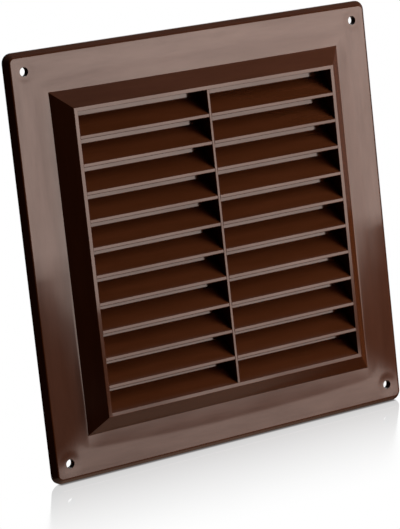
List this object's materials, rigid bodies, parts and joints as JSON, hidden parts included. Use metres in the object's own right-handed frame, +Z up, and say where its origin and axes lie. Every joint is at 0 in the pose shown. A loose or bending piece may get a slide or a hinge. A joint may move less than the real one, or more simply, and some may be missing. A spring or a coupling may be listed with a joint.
{
  "type": "ventilation grille",
  "caption": "Square surface-mounted ventilation grille with a raised chamfered frame, fixed sloping vanes either side of a mullion, and an insect screen behind them.",
  "frame": {"origin": "centre of the four screw holes, on the wall plane (the back of the flange's rim)", "axes": "+X to the right as seen from the front, +Z up, -Y out of the wall towards the room, +Y into the wall"},
  "size_m": [0.2, 0.0113, 0.2],
  "materials": {
    "flange_plastic": "satin gloss moulded brown",
    "frame_plastic": "satin gloss moulded brown",
    "louvre_plastic": "satin gloss moulded brown",
    "vane_plastic": "satin gloss moulded brown",
    "screen_plastic": "matt black border",
    "screen_net": "matt black net"
  },
  "bodies": {
    "root": {"flange_plate": "flange_plastic", "raised_frame": "frame_plastic", "cheek_left": "louvre_plastic", "cheek_right": "louvre_plastic", "mullion": "louvre_plastic", "screen_border": "screen_plastic", "screen_strands_across": "screen_net", "screen_strands_up": "screen_net", "vane_left_01": "vane_plastic", "vane_left_02": "vane_plastic", "vane_left_03": "vane_plastic", "vane_left_04": "vane_plastic", "vane_left_05": "vane_plastic", "vane_left_06": "vane_plastic", "vane_left_07": "vane_plastic", "vane_left_08": "vane_plastic", "vane_left_09": "vane_plastic", "vane_left_10": "vane_plastic", "vane_left_11": "vane_plastic", "vane_right_01": "vane_plastic", "vane_right_02": "vane_plastic", "vane_right_03": "vane_plastic", "vane_right_04": "vane_plastic", "vane_right_05": "vane_plastic", "vane_right_06": "vane_plastic", "vane_right_07": "vane_plastic", "vane_right_08": "vane_plastic", "vane_right_09": "vane_plastic", "vane_right_10": "vane_plastic", "vane_right_11": "vane_plastic"}
  },
  "joints": []
}
